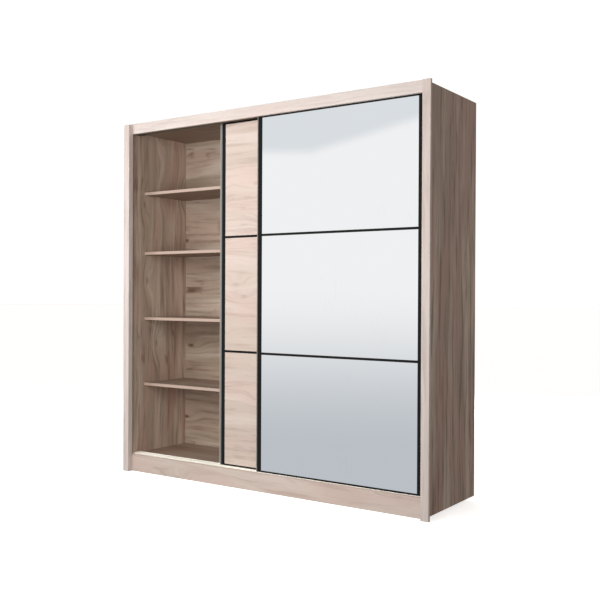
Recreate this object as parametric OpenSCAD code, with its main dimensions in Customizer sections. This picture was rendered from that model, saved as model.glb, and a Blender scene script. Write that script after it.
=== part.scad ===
// Sliding door wardrobe: a board carcass with a projecting front frame, a left bay of
// shelves, a right bay with a hanging rail, and two framed doors that roll past each
// other on a double track. Millimetres, +Z up, the front faces -Y.
// The origin is on the floor, in the middle of the width and of the depth.

/* [Overall size] */
// width over the two front posts
wardrobe_w = 2060; // [1900:10:2300]
// height to the top edge of the top rail
wardrobe_h = 2145; // [2050:5:2250]
// depth from the front of the posts to the back nails
wardrobe_d = 565; // [540:5:640]

/* [Carcass] */
// thickness of the laminated boards
board_t = 18; // [16:1:19]
// thickness of the back sheets
back_t = 3; // [3:1:4]
// gap under the side panels, which hang clear of the floor
side_gap = 25; // [15:1:30]
// drop from the top rail down to the top of the carcass
top_drop = 25; // [20:1:40]

/* [Front frame] */
// width of each front post, seen from the front
post_w = 44; // [40:1:60]
// how far the posts stand in front of the rails
post_d = 34; // [28:1:40]
// how far the posts end below the top edge of the top rail
post_drop = 7; // [0:1:15]
// height of the top rail
top_rail_h = 61; // [56:1:80]
// height of the bottom rail
bottom_rail_h = 104; // [100:1:110]

/* [Doors] */
// overlap of the two closed doors
door_overlap = 50; // [30:2:60]
// depth of a door frame
door_d = 30; // [30:1:32]
// width of the upright door profiles
stile_w = 31; // [29:1:34]
// how far the mirror door stands open, measured from its closed place at the right
mirror_open = 18; // [0:2:950]
// how far the panel door stands open, measured from its closed place at the left
panel_open = 660; // [0:10:960]

/* [Interior] */
// distance from the front of the posts to the shelf fronts
shelf_setback = 165; // [150:5:200]
// centre height of the four shelves, from the lowest up
shelf_heights = [526, 940, 1352, 1728];
// centre height of the hanging rail
rail_height = 1660; // [1560:10:1670]

/* [Hidden] */
$fn = 48;
small_fn = 24;

// carcass frame
half_w = wardrobe_w / 2;
inner_x = half_w - board_t;
front_y = -wardrobe_d / 2;
back_y = wardrobe_d / 2;
nail_head_t = 1;
back_sheet_y = back_y - nail_head_t - back_t;
side_z0 = side_gap;
side_z1 = wardrobe_h - top_drop;
top_panel_z = side_z1 - board_t;
floor_drop = 6;
floor_z = bottom_rail_h - floor_drop;
floor_panel_z = floor_z - board_t;

// front frame: the posts grip the front edges of the side panels in a rebate
post_z1 = wardrobe_h - post_drop;
rail_y = front_y + post_d;
side_y = rail_y - board_t;
carcass_y = rail_y + board_t;
top_rail_z = wardrobe_h - top_rail_h;

// door lanes
lane_gap = 7;
lane_pitch = door_d + lane_gap;
front_lane_y = carcass_y + 1;
rear_lane_y = front_lane_y + lane_pitch;
track_trim = 2;
track_w = 2 * lane_pitch - track_trim;
track_end_gap = 1;
track_len = 2 * (inner_x - track_end_gap);
partition_gap = 6;
partition_y = carcass_y + track_w + partition_gap;

// bottom track: a flat profile with one groove for the wheels of each door
floor_track_h = 8;
groove_w = 10;
groove_floor_t = 2;
track_top_z = floor_z + floor_track_h;
groove_z = floor_z + groove_floor_t;

// top track: a web with three flanges, one guide channel for each door
web_t = 2;
flange_t = 2;
flange_h = 13;
flange_z = top_panel_z - web_t - flange_h;

// doors
door_clear = 1;
door_top_clear = 2;
door_z = track_top_z + door_clear;
door_top_z = flange_z - door_top_clear;
door_h = door_top_z - door_z;
stop_gap = 20;
closed_x = inner_x - stop_gap;
door_w = closed_x + door_overlap / 2;
mirror_x = closed_x - mirror_open - door_w;
panel_x = -closed_x + panel_open;

// door profiles, as distances behind the front of the door
wall_t = 2;
pane_y = wall_t;
pane_t = 10;
glass_t = 4;
rear_lip_y = pane_y + pane_t;
tube_w = 19;
slot_clear = 1;
lip_h = 7;
lip_y = 0.5;
low_lip_h = 30;
divider_h = 10;
divider_web = 2;
divider_rear_h = 18;
pane_pitch = door_h / 3;

// rollers and guides
wheel_r = 12;
wheel_t = 6;
wheel_gap = 0.3;
wheel_y = 21.5;
wheel_inset = 90;
wheel_z = groove_z + wheel_gap + wheel_r - door_z;
axle_r = 2.5;
axle_play = 0.05;
axle_head_r = 4;
axle_head_t = 1;
cheek_gap = 1;
cheek_t = 2;
cheek_margin = 4;
cheek_rise = 6;
bracket_w = 70;
bracket_h = 44;
bracket_z = 2;
guide_inset = 60;
guide_len = 44;
guide_t = 9;
guide_foot_t = 2;
guide_foot_margin = 8;
guide_top_gap = 5;
guide_y = door_d / 2;

// interior
divider_x = board_t / 2;
shelf_y = front_y + shelf_setback;
shelf_back_gap = 5;
shelf_end_gap = 1;
hat_shelf_z = shelf_heights[3];
pin_r = 2.5;
pin_hole_r = 2.6;
pin_depth = 8;
pin_reach = 7;
pin_inset = 45;
pin_pitch = 32;
rod_r = 12.5;
rod_wall = 1.5;
socket_r = 16;
socket_t = 4;
socket_len = 14;
rod_y = (shelf_y + back_sheet_y) / 2;

// fixings
cam_r = 7.5;
cam_depth = 12.5;
cam_inset = 34;
cam_slot = 1.5;
cam_slot_depth = 3;
cam_slot_margin = 2;
cam_row_inset = 60;
bolt_r = 3;
bolt_grip = 10;
fixing_play = 0.1;
nail_r = 0.9;
nail_hole_r = 1;
nail_head_r = 3;
nail_len = 20;
nail_pitch = 250;
nails_up = 8;
nails_across = 4;
screw_head_r = 3.5;
screw_r = 1.5;
screw_head_h = 2;
screw_len = 14;
screw_inset = 80;
track_screws_each = 6;

// plinth and support legs
plinth_gap = 2;
plinth_y = back_sheet_y - plinth_gap - board_t;
leg_inset = 120;
leg_front_inset = 80;
leg_rear_inset = 60;
leg_rows = [carcass_y + leg_front_inset, plinth_y - leg_rear_inset];
leg_foot_r = 25;
leg_foot_h = 10;
leg_stem_r = 15;
leg_flange_r = 30;
leg_flange_h = 5;

laminate = [0.78, 0.70, 0.62];
frame_laminate = [0.86, 0.80, 0.75];
black_metal = [0.13, 0.12, 0.11];
bronze_metal = [0.38, 0.32, 0.26];
steel = [0.70, 0.71, 0.72];
mirror_glass = [0.85, 0.89, 0.92];
cream_plastic = [0.93, 0.91, 0.86];
black_plastic = [0.10, 0.10, 0.10];

// ---- helpers ----

// a box between two opposite corners
module box(from, to) {
    translate(from) cube(to - from);
}

// a cylinder along +X
module along_x(r, len) {
    rotate([0, 90, 0]) cylinder(r = r, h = len);
}

// a cylinder along +Y
module along_y(r, len) {
    rotate([-90, 0, 0]) cylinder(r = r, h = len);
}

// a 2D profile drawn in Y and Z, run along +X
module run_x(len) {
    rotate([90, 0, 90]) linear_extrude(len) children();
}

// a bar with round ends, centred on the origin, drawn in X and Y
module slot_shape(len, width) {
    square([len - width, width], center = true);
    for (end = [-1, 1])
        translate([end * (len - width) / 2, 0]) circle(d = width);
}

// evenly spread positions between two ends
function spread(from, to, count) =
    [for (i = [0 : count - 1]) from + (to - from) * i / (count - 1)];

// ---- carcass fixings ----

// the two distances from front to back at which shelf pins stand
pin_rows = [shelf_y + pin_inset, back_sheet_y - shelf_back_gap - pin_inset];
function pin_z(shelf_z) = shelf_z - board_t / 2 - pin_r;

// a group of pin holes for one shelf: the one in use and a spare above and below
module pin_holes(x, shelf_z) {
    for (y = pin_rows, step = [-1, 0, 1])
        translate([x, y, pin_z(shelf_z) + step * pin_pitch])
            along_x(pin_hole_r, pin_depth, $fn = small_fn);
}

module shelf_pin(x, shelf_z) {
    for (y = pin_rows)
        translate([x, y, pin_z(shelf_z)])
            along_x(pin_r, pin_depth + pin_reach, $fn = small_fn);
}

// nail positions along the edges of one back sheet, as [x, z]
function nail_columns(side) = [side * (half_w - board_t / 2), side * board_t / 4];
function nail_rows() = [floor_panel_z + board_t / 2, top_panel_z + board_t / 2];
nail_heights = spread(nail_rows()[0] + nail_pitch / 2, nail_rows()[1] - nail_pitch / 2,
    nails_up);
nail_widths = spread(nail_pitch / 2, inner_x - nail_pitch / 2, nails_across);

module at_nails() {
    for (side = [-1, 1]) {
        for (x = nail_columns(side), z = nail_heights)
            translate([x, back_sheet_y + back_t, z]) children();
        for (x = nail_widths, z = nail_rows())
            translate([side * x, back_sheet_y + back_t, z]) children();
    }
}

module nail_holes() {
    at_nails()
        translate([0, -nail_len - 1, 0]) along_y(nail_hole_r, nail_len + 2, $fn = 12);
}

module back_nails() {
    color(steel) at_nails() {
        translate([0, -nail_len, 0]) along_y(nail_r, nail_len, $fn = small_fn);
        along_y(nail_head_r, nail_head_t, $fn = small_fn);
    }
}

// cam locks sit in the top panel from above and in the bottom panel from below
cam_rows = [carcass_y + cam_row_inset, back_sheet_y - cam_row_inset];

module at_cams() {
    for (side = [-1, 1], y = cam_rows) {
        translate([side * (inner_x - cam_inset), y, side_z1 - cam_depth]) children();
        translate([side * (inner_x - cam_inset), y, floor_panel_z + cam_depth])
            mirror([0, 0, 1]) children();
    }
}

// bolts run from the side panels into the ends of the two panels, up to the cams
module at_bolts() {
    for (side = [0, 1], y = cam_rows, z = [floor_panel_z, top_panel_z])
        mirror([side, 0, 0])
            translate([inner_x - cam_inset + cam_r, y, z + board_t / 2]) children();
}

module cam_bolts() {
    color(steel) at_bolts()
        translate([fixing_play, 0, 0])
            along_x(bolt_r, cam_inset - cam_r + bolt_grip, $fn = small_fn);
}

// the bolt bores open into the cam bores
module cam_holes() {
    at_cams() cylinder(r = cam_r, h = cam_depth + 1);
    at_bolts()
        translate([-cam_r, 0, 0])
            along_x(bolt_r + fixing_play, cam_inset + bolt_grip + 2 * fixing_play,
                $fn = small_fn);
}

module cam_locks() {
    color(steel) at_cams() difference() {
        cylinder(r = cam_r - fixing_play, h = cam_depth);
        for (turn = [0, 90])
            rotate(turn)
                translate([0, 0, cam_depth])
                    cube([2 * (cam_r - cam_slot_margin), cam_slot, 2 * cam_slot_depth],
                        center = true);
    }
}

// the screws that hold the two tracks: at the bottom they point down between the two grooves,
// at the top they point up between the front guides and the middle flange
screw_spots = spread(-inner_x + screw_inset, inner_x - screw_inset, track_screws_each);
screw_bottom_y = front_lane_y + wheel_y + lane_pitch / 2;
screw_top_y = (front_lane_y + guide_y + carcass_y + track_w / 2) / 2;

module at_track_screws() {
    for (x = screw_spots) {
        translate([x, screw_bottom_y, track_top_z]) mirror([0, 0, 1]) children();
        translate([x, screw_top_y, top_panel_z - web_t]) children();
    }
}

module track_screw(play = 0) {
    cylinder(r1 = screw_head_r + play, r2 = screw_r + play, h = screw_head_h, $fn = small_fn);
    translate([0, 0, screw_head_h])
        cylinder(r = screw_r + play, h = screw_len - screw_head_h + play, $fn = small_fn);
}

module track_screws() {
    color(steel) at_track_screws() track_screw();
}

module track_screw_holes() {
    at_track_screws() track_screw(fixing_play);
}

// ---- carcass boards ----

module side_panel(side) {
    color(laminate) difference() {
        if (side < 0)
            box([-half_w, side_y, side_z0], [-inner_x, back_sheet_y, side_z1]);
        else
            box([inner_x, side_y, side_z0], [half_w, back_sheet_y, side_z1]);
        nail_holes();
        cam_holes();
        if (side < 0)
            for (z = shelf_heights) pin_holes(-inner_x - pin_depth, z);
        else
            pin_holes(inner_x, hat_shelf_z);
    }
}

module top_panel() {
    color(laminate) difference() {
        box([-inner_x, carcass_y, top_panel_z], [inner_x, back_sheet_y, side_z1]);
        nail_holes();
        track_screw_holes();
        cam_holes();
    }
}

module bottom_panel() {
    color(laminate) difference() {
        box([-inner_x, carcass_y, floor_panel_z], [inner_x, back_sheet_y, floor_z]);
        nail_holes();
        track_screw_holes();
        cam_holes();
    }
}

module centre_partition() {
    color(laminate) difference() {
        box([-divider_x, partition_y, floor_z], [divider_x, back_sheet_y, top_panel_z]);
        nail_holes();
        for (z = shelf_heights) pin_holes(-divider_x, z);
        pin_holes(divider_x - pin_depth, hat_shelf_z);
    }
}

module back_sheet(side) {
    edge_gap = 3;
    joint_gap = 1;
    x0 = side < 0 ? -half_w + edge_gap : joint_gap / 2;
    x1 = side < 0 ? -joint_gap / 2 : half_w - edge_gap;
    color(laminate) difference() {
        box([x0, back_sheet_y, floor_panel_z + edge_gap],
            [x1, back_sheet_y + back_t, side_z1 - edge_gap]);
        nail_holes();
    }
}

// ---- front frame ----

module post(side) {
    rebate = board_t;
    mirror([side > 0 ? 0 : 1, 0, 0])
        color(frame_laminate)
            translate([half_w, front_y, 0])
                linear_extrude(post_z1)
                    polygon([
                        [-post_w, 0], [0, 0], [0, post_d - rebate],
                        [-board_t, post_d - rebate], [-board_t, post_d], [-post_w, post_d],
                    ]);
}

module top_rail() {
    color(frame_laminate)
        box([-inner_x, rail_y, top_rail_z], [inner_x, carcass_y, wardrobe_h]);
}

module bottom_rail() {
    color(frame_laminate)
        box([-inner_x, rail_y, 0], [inner_x, carcass_y, bottom_rail_h]);
}

// ---- plinth ----

module rear_plinth() {
    color(laminate)
        box([-inner_x, plinth_y, side_gap], [inner_x, plinth_y + board_t, floor_panel_z]);
}

// six legs stand under the bottom panel, well in from the sides
module support_legs() {
    color(black_plastic)
        for (x = [-inner_x + leg_inset, 0, inner_x - leg_inset], y = leg_rows)
            translate([x, y, 0]) {
                cylinder(r = leg_foot_r, h = leg_foot_h);
                cylinder(r = leg_stem_r, h = floor_panel_z);
                translate([0, 0, floor_panel_z - leg_flange_h])
                    cylinder(r = leg_flange_r, h = leg_flange_h);
            }
}

// ---- interior ----

module shelf(x0, x1, shelf_z) {
    color(laminate)
        box([x0 + shelf_end_gap, shelf_y, shelf_z - board_t / 2],
            [x1 - shelf_end_gap, back_sheet_y - shelf_back_gap, shelf_z + board_t / 2]);
}

module left_shelf(level) {
    shelf(-inner_x, -divider_x, shelf_heights[level - 1]);
}

module shelf_pins() {
    color(steel) {
        for (z = shelf_heights) {
            shelf_pin(-inner_x - pin_depth, z);
            shelf_pin(-divider_x - pin_reach, z);
        }
        shelf_pin(divider_x - pin_depth, hat_shelf_z);
        shelf_pin(inner_x - pin_reach, hat_shelf_z);
    }
}

module hanging_rail() {
    len = inner_x - divider_x - 2 * socket_t;
    color(steel)
        translate([divider_x + socket_t, rod_y, rail_height]) difference() {
            along_x(rod_r, len);
            translate([-1, 0, 0]) along_x(rod_r - rod_wall, len + 2);
        }
}

module rail_socket() {
    flange_r = 20;
    flange_len = 3;
    difference() {
        union() {
            along_x(flange_r, flange_len);
            along_x(socket_r, socket_len);
        }
        translate([socket_t, 0, 0]) along_x(rod_r + fixing_play, socket_len);
    }
}

module rail_sockets() {
    color(steel) {
        translate([divider_x, rod_y, rail_height]) rail_socket();
        translate([inner_x, rod_y, rail_height]) mirror([1, 0, 0]) rail_socket();
    }
}

// ---- tracks ----

module top_track() {
    flange_ys = [0, track_w / 2 - flange_t / 2, track_w - flange_t];
    color(bronze_metal) difference() {
        translate([-track_len / 2, carcass_y, flange_z])
            run_x(track_len) {
                translate([0, flange_h]) square([track_w, web_t]);
                for (y = flange_ys)
                    translate([y, 0]) square([flange_t, flange_h + web_t]);
            }
        track_screw_holes();
    }
}

module bottom_track() {
    color(cream_plastic) difference() {
        translate([-track_len / 2, carcass_y, floor_z])
            run_x(track_len) difference() {
                square([track_w, floor_track_h]);
                for (lane_y = [front_lane_y, rear_lane_y])
                    translate([lane_y + wheel_y - groove_w / 2 - carcass_y, groove_floor_t])
                        square([groove_w, floor_track_h]);
            }
        track_screw_holes();
    }
}

// stops fill the ends of the top channels and catch the door guides
module track_stops() {
    stop_clear = 0.5;
    x0 = closed_x - guide_inset + guide_len / 2 + guide_t / 2 + stop_clear;
    stop_w = 20;
    color(black_plastic)
        for (side = [-1, 1], lane_y = [front_lane_y, rear_lane_y])
            mirror([side > 0 ? 0 : 1, 0, 0])
                box([x0, lane_y + guide_y - stop_w / 2, flange_z + 1],
                    [inner_x - track_end_gap, lane_y + guide_y + stop_w / 2,
                        top_panel_z - web_t]);
}

// ---- doors, drawn with the lower left front corner of the door at the origin ----

module mirror_door() {
    translate([mirror_x, front_lane_y, door_z]) children();
}

module panel_door() {
    translate([panel_x, rear_lane_y, door_z]) children();
}

// upright profile: a front plate, a tube behind it and a slot that grips the panes
module stile_shape() {
    difference() {
        union() {
            square([stile_w, wall_t]);
            square([tube_w, door_d]);
            translate([0, rear_lip_y]) square([stile_w, wall_t]);
        }
        translate([wall_t, wall_t])
            square([tube_w - 2 * wall_t, door_d - 2 * wall_t]);
    }
}

module left_stile() {
    color(black_metal) linear_extrude(door_h) stile_shape();
}

module right_stile() {
    translate([door_w, 0, 0]) mirror([1, 0, 0]) left_stile();
}

module rail_profile() {
    color(black_metal)
        translate([stile_w, 0, 0]) run_x(door_w - 2 * stile_w) children();
}

module bottom_profile() {
    rail_profile() {
        translate([lip_y, 0]) square([rear_lip_y + wall_t - lip_y, wall_t]);
        translate([lip_y, 0]) square([wall_t - lip_y, lip_h]);
        translate([rear_lip_y, 0]) square([wall_t, low_lip_h]);
    }
}

module top_profile() {
    rail_profile() {
        translate([lip_y, door_h - wall_t]) square([door_d - wall_t - lip_y, wall_t]);
        translate([lip_y, door_h - lip_h]) square([wall_t - lip_y, lip_h]);
        translate([rear_lip_y, door_h - low_lip_h]) square([wall_t, low_lip_h]);
    }
}

module divider(level) {
    rail_profile()
        translate([0, level * pane_pitch]) {
            translate([lip_y, -divider_h / 2]) square([wall_t - lip_y, divider_h]);
            translate([lip_y, -divider_web / 2]) square([rear_lip_y - lip_y, divider_web]);
            translate([rear_lip_y, -divider_rear_h / 2]) square([wall_t, divider_rear_h]);
        }
}

// one of the three equal fields of a door, counted from the bottom
module field(level, y, thickness) {
    x0 = tube_w + slot_clear;
    z0 = level == 0 ? wall_t + slot_clear : level * pane_pitch + divider_web / 2 + slot_clear;
    z1 = level == 2 ? door_h - wall_t - slot_clear
                    : (level + 1) * pane_pitch - divider_web / 2 - slot_clear;
    box([x0, y, z0], [door_w - x0, y + thickness, z1]);
}

module mirror_pane(level) {
    color(mirror_glass) field(level, pane_y, glass_t);
}

module mirror_backing(level) {
    color(laminate) field(level, pane_y + glass_t, pane_t - glass_t);
}

module panel_board(level) {
    color(frame_laminate) field(level, pane_y, pane_t);
}

// ---- rollers and guides ----

module at_wheels() {
    for (x = [wheel_inset, door_w - wheel_inset])
        translate([x, 0, 0]) children();
}

module bracket() {
    plate_y = rear_lip_y + wall_t;
    rear_cheek_y = wheel_y + wheel_t / 2 + cheek_gap;
    front_cheek_y = wheel_y - wheel_t / 2 - cheek_gap;
    cheek_w = 2 * (wheel_r + cheek_margin);
    cheek_z1 = wheel_z + wheel_r + cheek_rise;
    difference() {
        union() {
            translate([-bracket_w / 2, plate_y, bracket_z])
                cube([bracket_w, front_cheek_y - plate_y, bracket_h]);
            translate([-cheek_w / 2, rear_cheek_y, bracket_z])
                cube([cheek_w, cheek_t, cheek_z1 - bracket_z]);
            translate([-cheek_w / 2, front_cheek_y, cheek_z1 - cheek_t])
                cube([cheek_w, rear_cheek_y - front_cheek_y, cheek_t]);
        }
        translate([0, plate_y - 1, wheel_z]) along_y(axle_r + fixing_play, door_d, $fn = small_fn);
    }
}

module brackets() {
    color(steel) at_wheels() bracket();
}

module axles() {
    plate_y = rear_lip_y + wall_t;
    axle_len = wheel_y + wheel_t / 2 + cheek_gap + cheek_t - plate_y;
    color(steel) at_wheels()
        translate([0, plate_y, wheel_z]) {
            along_y(axle_r, axle_len, $fn = small_fn);
            translate([0, axle_len, 0]) along_y(axle_head_r, axle_head_t, $fn = small_fn);
        }
}

module wheel(x) {
    hub_r = 5;
    rim_t = 2.5;
    web = 3;
    hole_r = 1.2;
    spoke_holes = 6;
    color(black_plastic)
        translate([x, wheel_y, wheel_z]) rotate([90, 0, 0]) difference() {
            rotate_extrude() difference() {
                translate([axle_r + axle_play, -wheel_t / 2])
                    square([wheel_r - axle_r - axle_play, wheel_t]);
                for (y = [web / 2, -web / 2 - wheel_t])
                    translate([hub_r, y]) square([wheel_r - hub_r - rim_t, wheel_t]);
            }
            for (i = [0 : spoke_holes - 1])
                rotate(i * 360 / spoke_holes)
                    translate([(hub_r + wheel_r - rim_t) / 2, 0, -wheel_t / 2])
                        cylinder(r = hole_r, h = wheel_t, $fn = small_fn);
        }
}

module top_guides() {
    foot_len = guide_len + 2 * guide_foot_margin;
    foot_w = guide_t + guide_foot_margin / 2;
    fin_h = top_panel_z - web_t - guide_top_gap - door_top_z;
    color(black_plastic)
        for (x = [guide_inset, door_w - guide_inset])
            translate([x, guide_y, door_h]) {
                linear_extrude(guide_foot_t) square([foot_len, foot_w], center = true);
                linear_extrude(fin_h) slot_shape(guide_len + guide_t, guide_t);
            }
}

// ---- nodes ----

side_panel(-1);  // left_side_panel
side_panel(1);  // right_side_panel
top_panel();
bottom_panel();
centre_partition();
back_sheet(-1);  // back_sheet_left
back_sheet(1);  // back_sheet_right
top_rail();
bottom_rail();
post(-1);  // left_post
post(1);  // right_post
rear_plinth();
support_legs();
left_shelf(1);  // shelf_1
left_shelf(2);  // shelf_2
left_shelf(3);  // shelf_3
left_shelf(4);  // shelf_4
shelf(divider_x, inner_x, hat_shelf_z);  // hat_shelf
shelf_pins();
hanging_rail();
rail_sockets();
cam_locks();
cam_bolts();
back_nails();
top_track();
bottom_track();
track_screws();
track_stops();

mirror_door() left_stile();  // mirror_left_stile
mirror_door() right_stile();  // mirror_right_stile
mirror_door() top_profile();  // mirror_top_profile
mirror_door() bottom_profile();  // mirror_bottom_profile
mirror_door() divider(2);  // mirror_upper_divider
mirror_door() divider(1);  // mirror_lower_divider
mirror_door() mirror_pane(2);  // mirror_top_pane
mirror_door() mirror_pane(1);  // mirror_middle_pane
mirror_door() mirror_pane(0);  // mirror_bottom_pane
mirror_door() mirror_backing(2);  // mirror_top_backing
mirror_door() mirror_backing(1);  // mirror_middle_backing
mirror_door() mirror_backing(0);  // mirror_bottom_backing
mirror_door() brackets();  // mirror_brackets
mirror_door() axles();  // mirror_axles
mirror_door() top_guides();  // mirror_top_guides
mirror_door() wheel(wheel_inset);  // mirror_left_wheel
mirror_door() wheel(door_w - wheel_inset);  // mirror_right_wheel

panel_door() left_stile();  // panel_left_stile
panel_door() right_stile();  // panel_right_stile
panel_door() top_profile();  // panel_top_profile
panel_door() bottom_profile();  // panel_bottom_profile
panel_door() divider(2);  // panel_upper_divider
panel_door() divider(1);  // panel_lower_divider
panel_door() panel_board(2);  // panel_top_board
panel_door() panel_board(1);  // panel_middle_board
panel_door() panel_board(0);  // panel_bottom_board
panel_door() brackets();  // panel_brackets
panel_door() axles();  // panel_axles
panel_door() top_guides();  // panel_top_guides
panel_door() wheel(wheel_inset);  // panel_left_wheel
panel_door() wheel(door_w - wheel_inset);  // panel_right_wheel
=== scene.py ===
import math
import random

import bmesh
import bpy
from mathutils import Matrix, Vector


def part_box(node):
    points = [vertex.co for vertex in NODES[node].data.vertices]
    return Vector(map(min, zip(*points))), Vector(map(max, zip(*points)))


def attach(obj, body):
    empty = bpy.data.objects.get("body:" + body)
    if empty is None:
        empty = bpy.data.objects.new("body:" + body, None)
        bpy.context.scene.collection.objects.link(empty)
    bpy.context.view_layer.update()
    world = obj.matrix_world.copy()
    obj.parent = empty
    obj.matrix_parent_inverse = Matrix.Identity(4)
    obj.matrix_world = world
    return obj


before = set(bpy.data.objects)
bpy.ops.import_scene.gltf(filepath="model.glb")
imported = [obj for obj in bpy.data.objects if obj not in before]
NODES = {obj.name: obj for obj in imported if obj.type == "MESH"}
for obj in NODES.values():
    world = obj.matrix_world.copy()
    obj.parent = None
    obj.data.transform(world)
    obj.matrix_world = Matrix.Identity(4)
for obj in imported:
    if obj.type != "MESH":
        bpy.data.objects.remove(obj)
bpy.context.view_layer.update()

# The looks of the sliding door wardrobe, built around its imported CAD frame.
# Everything is in metres, in the CAD's frame: +X to the right, -Y to the front, +Z up.

MM = 0.001
AXES = "XYZ"
# How far a board's own piece of the pattern may lie from the wardrobe's origin.
PATTERN_SHIFT = 30
chance = random.Random(7)


def srgb(red, green, blue):
    """A colour given as 0..255 display values, as the linear colour a shader socket takes."""

    def linear(value):
        share = value / 255
        return share / 12.92 if share <= 0.04045 else ((share + 0.055) / 1.055) ** 2.4

    return (linear(red), linear(green), linear(blue), 1.0)


# ---------------------------------------------------------------- shader building


class Shader:
    """One material being made. Most methods add nodes and return the socket that holds the result."""

    def __init__(self, name):
        self.material = bpy.data.materials.new(name)
        self.material.use_nodes = True
        self.tree = self.material.node_tree
        self.tree.nodes.clear()
        self.surface = self.node("BsdfPrincipled")
        output = self.node("OutputMaterial")
        self.tree.links.new(self.surface.outputs[0], output.inputs["Surface"])

    def node(self, kind, inputs=None, **settings):
        """A new node with its inputs, by name or number, and its settings."""
        made = self.tree.nodes.new("ShaderNode" + kind)
        for key, value in settings.items():
            setattr(made, key, value)
        for key, value in (inputs or {}).items():
            self.feed(made.inputs[key], value)
        return made

    def feed(self, socket, value):
        """Links another node's result to a socket, or sets the socket to a plain value."""
        if isinstance(value, bpy.types.NodeSocket):
            self.tree.links.new(value, socket)
        else:
            socket.default_value = value

    def set(self, **inputs):
        """Sets inputs of the surface shader, with _ for each space in their names."""
        for key, value in inputs.items():
            self.feed(self.surface.inputs[key.replace("_", " ")], value)

    def position(self):
        """The X, Y and Z of the shaded point, in the CAD's frame."""
        place = self.node("TexCoord").outputs["Object"]
        return list(self.node("SeparateXYZ", {0: place}).outputs)

    def vector(self, x, y, z=0.0):
        return self.node("CombineXYZ", {0: x, 1: y, 2: z}).outputs[0]

    def scaled(self, place, along_rate, across_rate):
        """A place (along, across, depth) with one rate along the grain and another across it."""
        rates = (along_rate, across_rate, across_rate)
        return self.vector(*(self.times(value, rate) for value, rate in zip(place, rates)))

    def math(self, operation, a, b=0.0):
        return self.node("Math", {0: a, 1: b}, operation=operation).outputs[0]

    def times(self, a, b):
        return self.math("MULTIPLY", a, b)

    def plus(self, a, b):
        return self.math("ADD", a, b)

    def ease(self, value, low, high, to_low=0.0, to_high=1.0):
        """Value taken smoothly from low..high to to_low..to_high."""
        inputs = {0: value, 1: low, 2: high, 3: to_low, 4: to_high}
        return self.node("MapRange", inputs, interpolation_type="SMOOTHSTEP").outputs[0]

    def mix(self, share, a, b, blend_type="MIX"):
        """Colour a where share is 0, colour b where it is 1."""
        inputs = {0: share, 6: a, 7: b}
        return self.node("Mix", inputs, data_type="RGBA", blend_type=blend_type).outputs[2]

    def noise(self, vector, detail=2.0, roughness=0.5):
        inputs = {"Vector": vector, "Scale": 1.0, "Detail": detail, "Roughness": roughness}
        return self.node("TexNoise", inputs).outputs["Fac"]

    def bump(self, height, depth, strength=1.0):
        """Relief of depth metres from a height of 0..1."""
        inputs = {"Strength": strength, "Distance": depth, "Height": height}
        return self.node("Bump", inputs).outputs["Normal"]

    def edge_gap(self, box):
        """How far the shaded point on a box's surface is from the nearest edge of that box."""
        middle = (box[0] + box[1]) / 2
        half = (box[1] - box[0]) / 2
        gaps = []
        for i, value in enumerate(self.position()):
            away = self.math("ABSOLUTE", self.math("SUBTRACT", value, middle[i]))
            gaps.append(self.math("SUBTRACT", half[i], away))
        nearer = self.math("MINIMUM", gaps[0], gaps[1])
        farther = self.math("MAXIMUM", gaps[0], gaps[1])
        return self.math("MAXIMUM", nearer, self.math("MINIMUM", farther, gaps[2]))


def grain_coordinates(shader, box, grain):
    """The shaded point as (along, across, depth): along the grain, across the face, into the board.
    A random shift on each axis gives every board its own piece of the pattern."""
    size = box[1] - box[0]
    along = AXES.index(grain)
    others = sorted((i for i in range(3) if i != along), key=lambda i: -size[i])
    order = (along, *others)
    place = shader.position()
    return [shader.plus(place[i], chance.uniform(-PATTERN_SHIFT, PATTERN_SHIFT)) for i in order]


# ---------------------------------------------------------------- materials

# Each oak decor has four tones: pale ground, greyish bands, pink flush and dark streaks.
PALE_OAK = srgb(223, 208, 199)
CRACK_BROWN = srgb(88, 64, 50)
FRONT_TONES = (PALE_OAK, srgb(200, 184, 171), srgb(219, 194, 185), srgb(156, 131, 115))
FRAME_TONES = (srgb(229, 219, 214), srgb(208, 197, 189), srgb(223, 206, 200), srgb(164, 146, 136))
SIDE_TONES = (srgb(220, 199, 181), srgb(174, 150, 131), srgb(190, 158, 140), srgb(90, 64, 49))
WALL_TONES = (srgb(230, 212, 196), srgb(192, 172, 154), srgb(208, 178, 163), srgb(118, 91, 76))
# Painted shade: the tones of the shelves, top, bottom and plinth are a darker copy of the wall decor,
# for the dim light on them inside.
SHADED_SHELF_TONES = (srgb(174, 155, 139), srgb(150, 132, 116), srgb(160, 132, 118), srgb(100, 77, 63))
BACK_TONES = (srgb(204, 189, 174), srgb(170, 152, 134), srgb(188, 166, 150), srgb(112, 88, 72))
EDGE_BAND = srgb(206, 184, 171)

# The other materials' tones, in the order that their materials mix them.
FIBRE_TONES = (srgb(168, 136, 104), srgb(128, 98, 72))
# The stiles' grey edge band is a painted highlight, standing for light caught by their outer edges.
EDGE_HIGHLIGHT_TONES = (srgb(118, 116, 112), srgb(146, 144, 140))
GLASS_TONES = (srgb(243, 244, 244), srgb(238, 240, 240))
CREAM_TONES = (srgb(254, 252, 244), srgb(247, 243, 231))
CREAM_SCRATCH = srgb(205, 200, 188)
ZINC_TONES = (srgb(205, 206, 207), srgb(178, 180, 182))
PILE_TONES = (srgb(118, 122, 124), srgb(186, 190, 192))

# Plastics, and how much paler their dust is, in 0..255 display values.
PLASTIC_BLACK = (30, 30, 29)
RUBBER_BLACK = (18, 18, 18)
DUST_LIFT = 26

# Anodised tones: dark, light and rubbed.
BLACK_TONES = (srgb(9, 8, 7), srgb(24, 22, 20), srgb(104, 102, 98))
BRONZE_TONES = (srgb(112, 97, 83), srgb(132, 116, 100), srgb(160, 146, 130))


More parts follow.
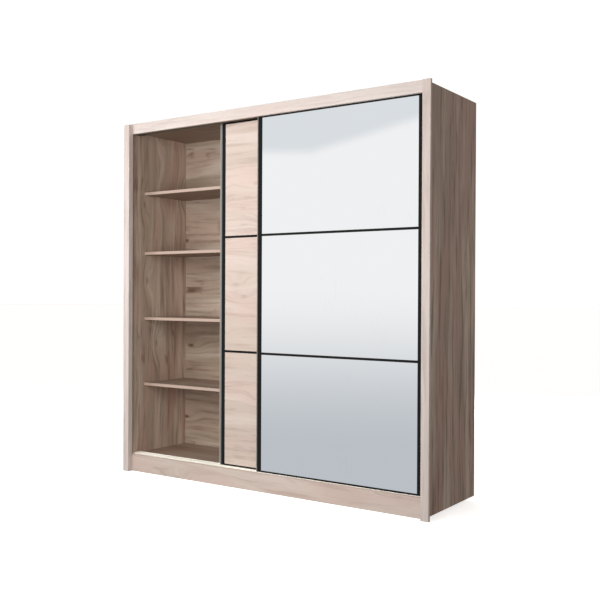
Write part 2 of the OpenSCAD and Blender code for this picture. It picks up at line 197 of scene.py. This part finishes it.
def oak_figure(shader, box, grain, knots, crack_width=0.024):
    """The printed oak: shares 0..1 of band, flush, streak, fibre and crack at the shaded point.
    Knots is the share of the pattern's cells that hold a knot."""
    along, across, depth = grain_coordinates(shader, box, grain)
    straight = (along, across, depth)
    knot_cells = {"Vector": shader.scaled(straight, 2.2, 5.0), "Scale": 1.0}
    cells = shader.node("TexVoronoi", knot_cells, voronoi_dimensions="2D")
    distance = cells.outputs["Distance"]
    lottery = shader.node("SeparateColor", {0: cells.outputs["Color"]}).outputs[0]
    has_knot = shader.ease(lottery, 1 - knots, 1.04 - knots)
    near_knot = shader.times(has_knot, shader.ease(distance, 0.0, 0.4, 1.0, 0.0))
    knot_core = shader.times(has_knot, shader.ease(distance, 0.015, 0.085, 1.0, 0.0))

    wander = shader.math("SUBTRACT", shader.noise(shader.scaled(straight, 1.1, 2.4), 2.0), 0.5)
    bend = shader.plus(shader.times(wander, 0.1), shader.times(near_knot, 0.05))
    bent = (along, shader.plus(across, bend), depth)

    def grain_noise(along_rate, across_rate, detail, roughness=0.5):
        return shader.noise(shader.scaled(bent, along_rate, across_rate), detail, roughness)

    band = shader.ease(grain_noise(0.5, 9.0, 3.0, 0.55), 0.38, 0.64)
    flush = shader.ease(grain_noise(1.6, 7.0, 2.0), 0.44, 0.66)
    streak = shader.ease(grain_noise(2.4, 40.0, 4.0, 0.62), 0.45, 0.72)
    fibre = grain_noise(16.0, 620.0, 2.0, 0.6)
    contour = shader.math("SUBTRACT", grain_noise(1.3, 9.5, 3.0), 0.5)
    from_line = shader.math("ABSOLUTE", contour)
    line = shader.ease(from_line, 0.15 * crack_width, crack_width, 1.0, 0.0)
    broken = shader.ease(grain_noise(5.0, 3.0, 2.0), 0.54, 0.68)
    crack = shader.math("MAXIMUM", shader.times(line, broken), knot_core)
    return band, flush, streak, fibre, crack


def oak_colour(shader, tones, figure, contrast, crack_share):
    """The decor's colour from its four tones and its figure."""
    pale, grey, pink, dark = tones
    band, flush, streak, fibre, crack = figure
    colour = shader.mix(shader.times(band, 0.8 * contrast), pale, grey)
    colour = shader.mix(shader.times(flush, 0.8 * contrast), colour, pink)
    colour = shader.mix(shader.times(streak, 0.42 * contrast), colour, dark)
    colour = shader.mix(shader.ease(fibre, 0.45, 0.8, 0.0, 0.2), colour, dark)
    return shader.mix(shader.times(crack, crack_share), colour, CRACK_BROWN)


def laminate(name, box, grain, tones, knots=0.3, contrast=1.0, crack_share=0.5, banded=False):
    """Matt oak decor on one board, with worn corners, fine pores and, if banded, a glued front edge."""
    shader = Shader(name)
    figure = oak_figure(shader, box, grain, knots)
    fibre, crack = figure[3:]
    colour = oak_colour(shader, tones, figure, contrast, crack_share)

    gap = shader.edge_gap(box)
    seam_depth = 0.9 * MM
    if banded:
        from_front = shader.math("SUBTRACT", shader.position()[1], box[0].y)
        front = shader.ease(from_front, 0.4 * MM, seam_depth, 1.0, 0.0)
        colour = shader.mix(shader.times(front, 0.8), colour, EDGE_BAND)
    from_seam = shader.math("ABSOLUTE", shader.math("SUBTRACT", gap, seam_depth))
    seam = shader.ease(from_seam, 0.1 * MM, 0.4 * MM, 0.4, 0.0)
    colour = shader.mix(seam, colour, CRACK_BROWN)
    rubbed = shader.times(shader.ease(gap, 0.0, 0.8 * MM, 1.0, 0.0), shader.ease(fibre, 0.4, 0.7))
    colour = shader.mix(shader.times(rubbed, 0.5), colour, PALE_OAK)

    relief = shader.plus(shader.ease(fibre, 0.5, 0.8, 1.0, 0.4), shader.times(crack, -0.8))
    shader.set(
        Base_Color=colour,
        Roughness=shader.ease(fibre, 0.3, 0.8, 0.5, 0.66),
        Specular_IOR_Level=0.22,
        Normal=shader.bump(relief, 0.25 * MM, 0.5),
    )
    return shader.material


def back_sheet(name, box):
    """Thin fibreboard: printed oak on the face inside the wardrobe, bare pressed fibre on the rear."""
    shader = Shader(name)
    figure = oak_figure(shader, box, "X", 0.4, 0.05)
    fibre = figure[3]
    oak = oak_colour(shader, BACK_TONES, figure, 1.3, 0.8)

    place = shader.position()
    speck = shader.noise(shader.scaled(place, 420.0, 420.0), 4.0, 0.7)
    bare = shader.mix(shader.ease(speck, 0.35, 0.7), *FIBRE_TONES)
    middle = (box[0].y + box[1].y) / 2
    rear = shader.math("GREATER_THAN", place[1], middle)

    shader.set(
        Base_Color=shader.mix(rear, oak, bare),
        Roughness=shader.ease(speck, 0.2, 0.8, 0.55, 0.8),
        Specular_IOR_Level=0.3,
        Normal=shader.bump(shader.plus(speck, shader.times(fibre, 0.4)), 0.2 * MM, 0.35),
    )
    return shader.material


def anodised(name, box, run, tones=BLACK_TONES, highlight_band=None):
    """Anodised aluminium, brushed along its run and rubbed along its corners. Tones are its dark, light
    and rubbed colours. The last argument is (edge x, width) of a grey painted highlight on an upright's
    outer edge."""
    dark, light, bare = tones
    shader = Shader(name)
    place = grain_coordinates(shader, box, run)
    brushed = shader.noise(shader.scaled(place, 3.0, 1400.0), 3.0, 0.7)
    patch = shader.noise(shader.scaled(place, 4.0, 30.0))
    colour = shader.mix(brushed, dark, light)
    corner = shader.ease(shader.edge_gap(box), 0.0, 0.9 * MM, 1.0, 0.0)
    rubbed = shader.times(corner, shader.ease(patch, 0.42, 0.6))
    colour = shader.mix(shader.times(rubbed, 0.35), colour, bare)
    if highlight_band:
        edge_x, width = highlight_band
        from_edge = shader.math("ABSOLUTE", shader.math("SUBTRACT", shader.position()[0], edge_x))
        # Painted highlight: a grey band along the upright's outer edge, for light caught by that edge.
        painted_highlight = shader.ease(from_edge, width - 0.6 * MM, width + 0.6 * MM, 1.0, 0.0)
        grey = shader.mix(patch, *EDGE_HIGHLIGHT_TONES)
        colour = shader.mix(painted_highlight, colour, grey)
    worn = shader.plus(brushed, shader.times(patch, 0.4))
    shader.set(
        Base_Color=colour,
        Metallic=0.2,
        Roughness=shader.ease(worn, 0.4, 1.0, 0.34, 0.55),
        Specular_IOR_Level=0.25,
        Normal=shader.bump(brushed, 0.05 * MM, 0.3),
    )
    return shader.material


def mirror_glass(name, box):
    """Silvered glass: sharp, with faint wiping marks and a slightly uneven surface."""
    shader = Shader(name)
    x, y, z = shader.position()
    wiped = shader.noise(shader.vector(shader.times(x, 6.0), y, shader.times(z, 2.5)), 5.0, 0.65)
    fine = shader.noise(shader.vector(shader.times(x, 60.0), y, shader.times(z, 18.0)), 4.0, 0.6)
    haze = shader.times(shader.ease(wiped, 0.5, 0.75), shader.ease(fine, 0.4, 0.8))
    ground = shader.ease(shader.edge_gap(box), 0.0, 3 * MM, 0.35, 0.0)
    shader.set(
        Base_Color=shader.mix(haze, *GLASS_TONES),
        Metallic=1.0,
        Roughness=shader.math("MAXIMUM", shader.ease(haze, 0.0, 1.0, 0.012, 0.05), ground),
    )
    return shader.material


def track_paint(name, box):
    """Cream coated aluminium with fine scratches along the way the wheels run."""
    shader = Shader(name)
    place = grain_coordinates(shader, box, "X")
    scratch = shader.noise(shader.scaled(place, 5.0, 900.0), 4.0, 0.7)
    dusty = shader.noise(shader.scaled(place, 7.0, 24.0), 3.0)
    colour = shader.mix(shader.ease(dusty, 0.4, 0.75), *CREAM_TONES)
    colour = shader.mix(shader.ease(scratch, 0.6, 0.8, 0.0, 0.35), colour, CREAM_SCRATCH)
    shader.set(
        Base_Color=colour,
        Metallic=0.0,
        Roughness=shader.ease(scratch, 0.3, 0.7, 0.3, 0.46),
        Specular_IOR_Level=0.5,
        Normal=shader.bump(scratch, 0.06 * MM, 0.3),
    )
    return shader.material


def zinc_steel(name, box, run):
    """Zinc plated steel, drawn along its run."""
    shader = Shader(name)
    place = grain_coordinates(shader, box, run)
    drawn = shader.noise(shader.scaled(place, 12.0, 1100.0), 3.0, 0.7)
    cloud = shader.noise(shader.scaled(place, 90.0, 90.0), 3.0)
    dull = shader.plus(drawn, shader.times(cloud, 0.5))
    shader.set(
        Base_Color=shader.mix(cloud, *ZINC_TONES),
        Metallic=1.0,
        Roughness=shader.ease(dull, 0.4, 1.0, 0.2, 0.42),
        Normal=shader.bump(drawn, 0.04 * MM, 0.3),
    )
    return shader.material


def moulded_plastic(name, tone):
    """Moulded plastic of a 0..255 tone, with a fine spark-eroded texture and a little paler dust."""
    shader = Shader(name)
    place = shader.position()
    grain = shader.noise(shader.scaled(place, 1900.0, 1900.0), 2.0, 0.6)
    dust = shader.noise(shader.scaled(place, 45.0, 45.0), 4.0, 0.65)
    dusty = [value + DUST_LIFT for value in tone]
    shader.set(
        Base_Color=shader.mix(shader.ease(dust, 0.45, 0.8), srgb(*tone), srgb(*dusty)),
        Roughness=shader.ease(dust, 0.3, 0.8, 0.42, 0.62),
        Specular_IOR_Level=0.45,
        Normal=shader.bump(grain, 0.08 * MM, 0.35),
    )
    return shader.material


def pile(name):
    """Grey woven pile of the draught strips, its fibres in two greys."""
    shader = Shader(name)
    strand = shader.noise(shader.scaled(shader.position(), 120.0, 2200.0), 2.0, 0.6)
    shader.set(
        Base_Color=shader.mix(strand, *PILE_TONES),
        Roughness=0.85,
        Specular_IOR_Level=0.2,
        Sheen_Weight=0.3,
        Normal=shader.bump(strand, 0.3 * MM, 0.6),
    )
    return shader.material


# ---------------------------------------------------------------- dressing the CAD nodes


DOORS = ("mirror", "panel")
THIRDS = ("top", "middle", "bottom")
BARS = ("top_profile", "bottom_profile", "upper_divider", "lower_divider")
SHELF_LIKE = ("shelf_1", "shelf_2", "shelf_3", "shelf_4", "hat_shelf", "bottom_panel", "top_panel")

# How wide the painted highlight is on each door's stiles: a grey band along their outer edges.
HIGHLIGHT_WIDTH = {"panel": 9 * MM, "mirror": 6 * MM}


def dress(node, material, bevel=None):
    """Gives a CAD node its material and, if bevel is given, corners rounded by that many metres."""
    piece = NODES[node]
    piece.data.materials.clear()
    piece.data.materials.append(material)
    if bevel:
        weld = piece.modifiers.new("weld", "WELD")
        weld.merge_threshold = 0.01 * MM
        soften = piece.modifiers.new("soften", "BEVEL")
        soften.width = bevel
        soften.segments = 2
        soften.limit_method = "ANGLE"
        soften.angle_limit = math.radians(40)
        soften.use_clamp_overlap = True
        soften.harden_normals = True


def dress_boards():
    """Every solid board in oak decor that runs along its own length."""
    front = {"tones": FRONT_TONES, "contrast": 0.7, "crack_share": 0.16}
    around = {"tones": FRAME_TONES, "contrast": 0.8, "crack_share": 0.12}
    wall = {"tones": WALL_TONES, "banded": True, "contrast": 1.3, "crack_share": 0.4}
    side = {"tones": SIDE_TONES, "banded": True, "contrast": 1.6, "crack_share": 0.15}
    # The shelves, panels and plinth take the darker tones, which are painted shade.
    shaded_flat = {"tones": SHADED_SHELF_TONES, "banded": True}
    boards = {
        "left_post": ("Z", {**around, "knots": 0.1}),
        "right_post": ("Z", {**around, "knots": 0.1}),
        "top_rail": ("X", {**around, "knots": 0.2}),
        "bottom_rail": ("X", {**front, "knots": 0.2}),
        "left_side_panel": ("Z", {**wall, "knots": 0.5}),
        "right_side_panel": ("Z", {**side, "knots": 0.04}),
        "centre_partition": ("Z", {**wall, "knots": 0.3}),
        "rear_plinth": ("X", {**shaded_flat, "knots": 0.2}),
    }
    boards.update({node: ("X", {**shaded_flat, "knots": 0.25}) for node in SHELF_LIKE})
    boards.update({f"panel_{part}_board": ("X", {**front, "knots": 0.6}) for part in THIRDS})
    for node, (grain, look) in boards.items():
        dress(node, laminate(node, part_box(node), grain, **look), bevel=0.6 * MM)


def dress_backs():
    """The thin sheets behind the bays and behind the mirrors."""
    for node in ("back_sheet_left", "back_sheet_right", *(f"mirror_{part}_backing" for part in THIRDS)):
        dress(node, back_sheet(node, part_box(node)))


def dress_doors():
    """The doors' aluminium frames, and the panes of the mirror door."""
    for door in DOORS:
        for part, corner in (("left_stile", 0), ("right_stile", 1)):
            node = f"{door}_{part}"
            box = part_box(node)
            # Each stile gets a painted highlight, a grey band along its outer edge.
            highlight_band = (box[corner].x, HIGHLIGHT_WIDTH[door])
            dress(node, anodised(node, box, "Z", highlight_band=highlight_band), bevel=0.6 * MM)
        for part in BARS:
            node = f"{door}_{part}"
            dress(node, anodised(node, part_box(node), "X"), bevel=0.4 * MM)
    for part in THIRDS:
        node = f"mirror_{part}_pane"
        dress(node, mirror_glass(node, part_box(node)), bevel=0.5 * MM)


def dress_fittings():
    """Tracks, feet, guides, wheels and the metal fittings."""
    dress("bottom_track", track_paint("bottom_track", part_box("bottom_track")), bevel=0.3 * MM)
    dress("top_track", anodised("top_track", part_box("top_track"), "X", BRONZE_TONES), bevel=0.3 * MM)
    plastic = moulded_plastic("black_moulding", PLASTIC_BLACK)
    dress("support_legs", plastic, bevel=0.5 * MM)
    plastic_nodes = ["rail_sockets", "track_stops"]
    plastic_nodes += [f"{door}_top_guides" for door in DOORS]
    plastic_nodes += [f"{door}_{side}_wheel" for door in DOORS for side in ("left", "right")]
    for node in plastic_nodes:
        dress(node, plastic)
    steel_nodes = ["hanging_rail", "cam_locks", "cam_bolts", "back_nails", "track_screws", "shelf_pins"]
    steel_nodes += [f"{door}_{part}" for door in DOORS for part in ("brackets", "axles")]
    for node in steel_nodes:
        dress(node, zinc_steel(node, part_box(node), "X"))


# ---------------------------------------------------------------- small pieces made as meshes


def make_object(name, mesh, material):
    """Turns a bmesh into an object in the scene."""
    data = bpy.data.meshes.new(name)
    mesh.to_mesh(data)
    mesh.free()
    data.materials.append(material)
    piece = bpy.data.objects.new(name, data)
    bpy.context.scene.collection.objects.link(piece)
    return piece


def add_to_body(name, mesh, material, body):
    """Turns a bmesh into a piece that rides on a CAD body."""
    bmesh.ops.recalc_face_normals(mesh, faces=mesh.faces)
    piece = make_object(name, mesh, material)
    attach(piece, body)


def add_tuft(mesh, root, tip, root_half, tip_half):
    """A tapered four-sided tuft from root to tip along X. The halves are its half sizes in Y and Z."""
    rings = []
    for centre, (half_y, half_z) in ((root, root_half), (tip, tip_half)):
        corners = ((-1, -1), (1, -1), (1, 1), (-1, 1))
        rings.append([mesh.verts.new(centre + Vector((0, a * half_y, b * half_z))) for a, b in corners])
    mesh.faces.new(rings[0])
    mesh.faces.new(rings[1])
    for i in range(4):
        j = (i + 1) % 4
        mesh.faces.new((rings[0][i], rings[0][j], rings[1][j], rings[1][i]))


def pile_strip(name, stile, side, body, material):
    """A brush strip on a stile's closing edge: a woven backing with two rows of tufts.
    Side is -1 on the stile's left edge and 1 on its right edge."""
    low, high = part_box(stile)
    edge = low.x if side < 0 else high.x
    middle_y = low.y + 3.6 * MM
    clear = 6 * MM
    backing = 0.8 * MM
    backing_half_y = 3.2 * MM
    reach = 7.5 * MM
    pitch = 2.4 * MM
    row_offset = 1.4 * MM
    root_half = (1.2 * MM, 1.15 * MM)
    tip_half = (0.9 * MM, 0.7 * MM)

    mesh = bmesh.new()
    backing_centre = Vector((edge, middle_y, (low.z + high.z) / 2))
    half = (backing_half_y, (high.z - low.z) / 2 - clear)
    add_tuft(mesh, backing_centre, backing_centre + Vector((side * backing, 0, 0)), half, half)
    count = int((high.z - low.z - 2 * clear) / pitch)
    for i in range(count):
        z = low.z + clear + (i + 0.5) * pitch
        for row in (-1, 1):
            root = Vector((edge + side * backing, middle_y + row * row_offset, z))
            lean = Vector((0, chance.uniform(-0.4, 0.4) * MM, chance.uniform(-0.5, 0.5) * MM))
            tip = root + Vector((side * (reach - backing) * chance.uniform(0.9, 1.0), 0, 0)) + lean
            add_tuft(mesh, root, tip, root_half, tip_half)
    add_to_body(name, mesh, material, body)


def glazing_bead(name, opening, front_y, body, material):
    """A thin rubber bead round the visible face of a pane or board. Opening is (x0, z0, x1, z1)."""
    x0, z0, x1, z1 = opening
    width = 1.6 * MM
    rise = 0.9 * MM
    # The bead's section as (inset, height), from the frame's edge inwards.
    section = ((0.0, 0.0), (0.0, rise), (width * 0.6, rise), (width, rise * 0.3), (width, 0.0))
    mesh = bmesh.new()
    loops = []
    for inset, height in section:
        corners = (
            (x0 + inset, z0 + inset),
            (x1 - inset, z0 + inset),
            (x1 - inset, z1 - inset),
            (x0 + inset, z1 - inset),
        )
        loops.append([mesh.verts.new((x, front_y - height, z)) for x, z in corners])
    for a, b in zip(loops, loops[1:] + loops[:1]):
        for i in range(4):
            j = (i + 1) % 4
            mesh.faces.new((a[i], a[j], b[j], b[i]))
    add_to_body(name, mesh, material, body)


def front_face(node):
    """Lowest and highest corner of the face that a node turns to the front."""
    flat_within = 0.05 * MM
    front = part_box(node)[0].y
    corners = [v.co for v in NODES[node].data.vertices if v.co.y < front + flat_within]
    return [Vector((pick(c[i] for c in corners) for i in range(3))) for pick in (min, max)]


def add_beads(door, kind, material):
    """The beads round one door's three panes or boards, inside what the frame leaves open."""
    left = front_face(f"{door}_left_stile")[1].x
    right = front_face(f"{door}_right_stile")[0].x
    bars = sorted((front_face(f"{door}_{bar}") for bar in BARS), key=lambda face: face[0].z)
    for part, below, above in zip(reversed(THIRDS), bars, bars[1:]):
        opening = (left, below[1].z, right, above[0].z)
        front_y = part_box(f"{door}_{part}_{kind}")[0].y
        glazing_bead(f"{door}_{part}_bead", opening, front_y, f"{door}_door", material)


# ---------------------------------------------------------------- studio

# The domes are far beyond the wardrobe and the camera, with the floor inside them.
BACKDROP_RADIUS = 90
REFLECTED_RADIUS = 85
FLOOR_HALF = 80


def emissive(name, colour, strength):
    """A surface that only shines."""
    shader = Shader(name)
    shader.set(Base_Color=(0, 0, 0, 1), Emission_Color=colour, Emission_Strength=strength)
    shader.set(Roughness=1.0, Specular_IOR_Level=0.0)
    return shader


def seen_by(piece, *kinds):
    """Limits a stage piece to the kinds of ray that may see it."""
    for kind in ("camera", "diffuse", "glossy", "transmission", "volume_scatter", "shadow"):
        setattr(piece, "visible_" + kind, kind in kinds)


def dome(name, radius, material):
    """A sphere round the scene, seen from inside."""
    mesh = bmesh.new()
    bmesh.ops.create_icosphere(mesh, subdivisions=4, radius=radius)
    bmesh.ops.reverse_faces(mesh, faces=mesh.faces)
    piece = make_object(name, mesh, material)
    return piece


def studio_reflection():
    """What the mirror sees: a white room, greyer towards the floor, with a soft grey ceiling."""
    shader = emissive("studio_reflection", (1, 1, 1, 1), 1.0)
    x, y, z = shader.position()
    reach = shader.node("VectorMath", {0: shader.vector(x, y, z)}, operation="NORMALIZE").outputs[0]
    rise = shader.node("SeparateXYZ", {0: reach}).outputs[2]
    floor_tone = (0.545, 0.58, 0.62, 1)
    wall_tone = (0.965, 0.965, 0.975, 1)
    ceiling_tone = (0.77, 0.80, 0.83, 1)
    colour = shader.mix(shader.ease(rise, -0.17, 0.03), floor_tone, wall_tone)

    # The ceiling fills the directions that lie above both of its edges, the front one level.
    side_slope = (-0.325, 0.0, 1.0)
    side_edge = 0.3566
    front_edge = 0.1838
    softness = 0.008
    sideways = shader.node("VectorMath", {0: reach, 1: side_slope}, operation="DOT_PRODUCT")
    past_side = shader.plus(sideways.outputs["Value"], -side_edge)
    past_front = shader.plus(rise, -front_edge)
    ceiling = shader.ease(shader.math("MINIMUM", past_side, past_front), -softness, softness)
    shader.set(Emission_Color=shader.mix(ceiling, colour, ceiling_tone))
    return shader.material


def add_floor():
    """A pale floor that shows up to the camera and takes the wardrobe's shadow."""
    shader = Shader("pale_floor")
    x, y = shader.position()[:2]
    cloud = shader.noise(shader.vector(shader.times(x, 0.8), shader.times(y, 0.8)), 2.0)
    tone = shader.mix(cloud, (0.93, 0.93, 0.93, 1), (0.9, 0.9, 0.9, 1))
    shader.set(Base_Color=tone, Roughness=0.9, Specular_IOR_Level=0.1)
    shader.set(Emission_Color=(1, 1, 1, 1), Emission_Strength=0.72)
    mesh = bmesh.new()
    bmesh.ops.create_grid(mesh, x_segments=1, y_segments=1, size=FLOOR_HALF)
    floor = make_object("floor", mesh, shader.material)
    seen_by(floor, "camera", "shadow")


def area_light(name, place, target, size, power, colour, only=None):
    """A square soft light. Only, if given, is the one CAD node that it lights."""
    lamp = bpy.data.lights.new(name, "AREA")
    lamp.shape = "SQUARE"
    lamp.size = size
    lamp.energy = power
    lamp.color = colour
    piece = bpy.data.objects.new(name, lamp)
    bpy.context.scene.collection.objects.link(piece)
    piece.location = place
    piece.rotation_euler = (Vector(target) - Vector(place)).to_track_quat("-Z", "Y").to_euler()
    piece.visible_glossy = False
    piece.visible_camera = False
    if only:
        lit = bpy.data.collections.new(name + "_lights")
        lit.objects.link(NODES[only])
        piece.light_linking.receiver_collection = lit


def add_studio():
    """Soft light from a warm world and four lamps, and what stands round the wardrobe."""
    world = bpy.data.worlds.new("studio")
    bpy.context.scene.world = world
    world.use_nodes = True
    background = world.node_tree.nodes["Background"]
    background.inputs["Color"].default_value = (1.0, 0.92, 0.85, 1)
    background.inputs["Strength"].default_value = 0.27

    white = emissive("white_backdrop", (1, 1, 1, 1), 1.02).material
    seen_by(dome("backdrop", BACKDROP_RADIUS, white), "camera")
    seen_by(dome("reflected_studio", REFLECTED_RADIUS, studio_reflection()), "glossy")
    add_floor()

    open_bay = (-0.6, -0.3, 1.4)
    back = (0, 0.3, 1.1)
    track = (-0.6, -0.2, 0.1)
    cool = (0.98, 0.99, 1.0)
    neutral = (1.0, 0.985, 0.97)
    warm = (1.0, 0.97, 0.94)
    cream = (1.0, 0.98, 0.94)
    area_light("key", (-2.0, -3.3, 3.0), open_bay, size=1.6, power=50, colour=cool)
    area_light("front_fill", (0.1, -2.7, 1.5), open_bay, size=1.8, power=54, colour=neutral)
    area_light("rear_fill", (-1.8, 4.2, 2.2), back, size=2.5, power=110, colour=warm)
    area_light(
        "track_kicker", (-0.7, -1.9, 1.7), track, size=1.0, power=22, colour=cream, only="bottom_track"
    )
    bpy.context.scene.view_settings.view_transform = "Standard"


def add_camera():
    """The photographer's place: ahead and to the right, at half the wardrobe's height."""
    place = (2.8327, -4.1173, 1.0929)
    camera = bpy.data.cameras.new("camera")
    camera.sensor_width = 36
    camera.lens = 51.99
    camera.shift_x = 0.05
    camera.clip_end = 300
    piece = bpy.data.objects.new("camera", camera)
    bpy.context.scene.collection.objects.link(piece)
    azimuth, pitch, roll = (math.radians(value) for value in (35.617, -0.337, 0.247))
    piece.matrix_world = (
        Matrix.Translation(place)
        @ Matrix.Rotation(azimuth, 4, "Z")
        @ Matrix.Rotation(math.pi / 2 + pitch, 4, "X")
        @ Matrix.Rotation(roll, 4, "Z")
    )
    bpy.context.scene.camera = piece


def build():
    """Dresses the CAD nodes, adds the small pieces, the studio and the camera."""
    dress_boards()
    dress_backs()
    dress_doors()
    dress_fittings()
    grey_pile = pile("grey_pile")
    pile_strip("panel_pile_strip", "panel_left_stile", -1, "panel_door", grey_pile)
    pile_strip("mirror_pile_strip", "mirror_right_stile", 1, "mirror_door", grey_pile)
    rubber = moulded_plastic("black_rubber", RUBBER_BLACK)
    add_beads("mirror", "pane", rubber)
    add_beads("panel", "board", rubber)
    add_camera()
    add_studio()


build()
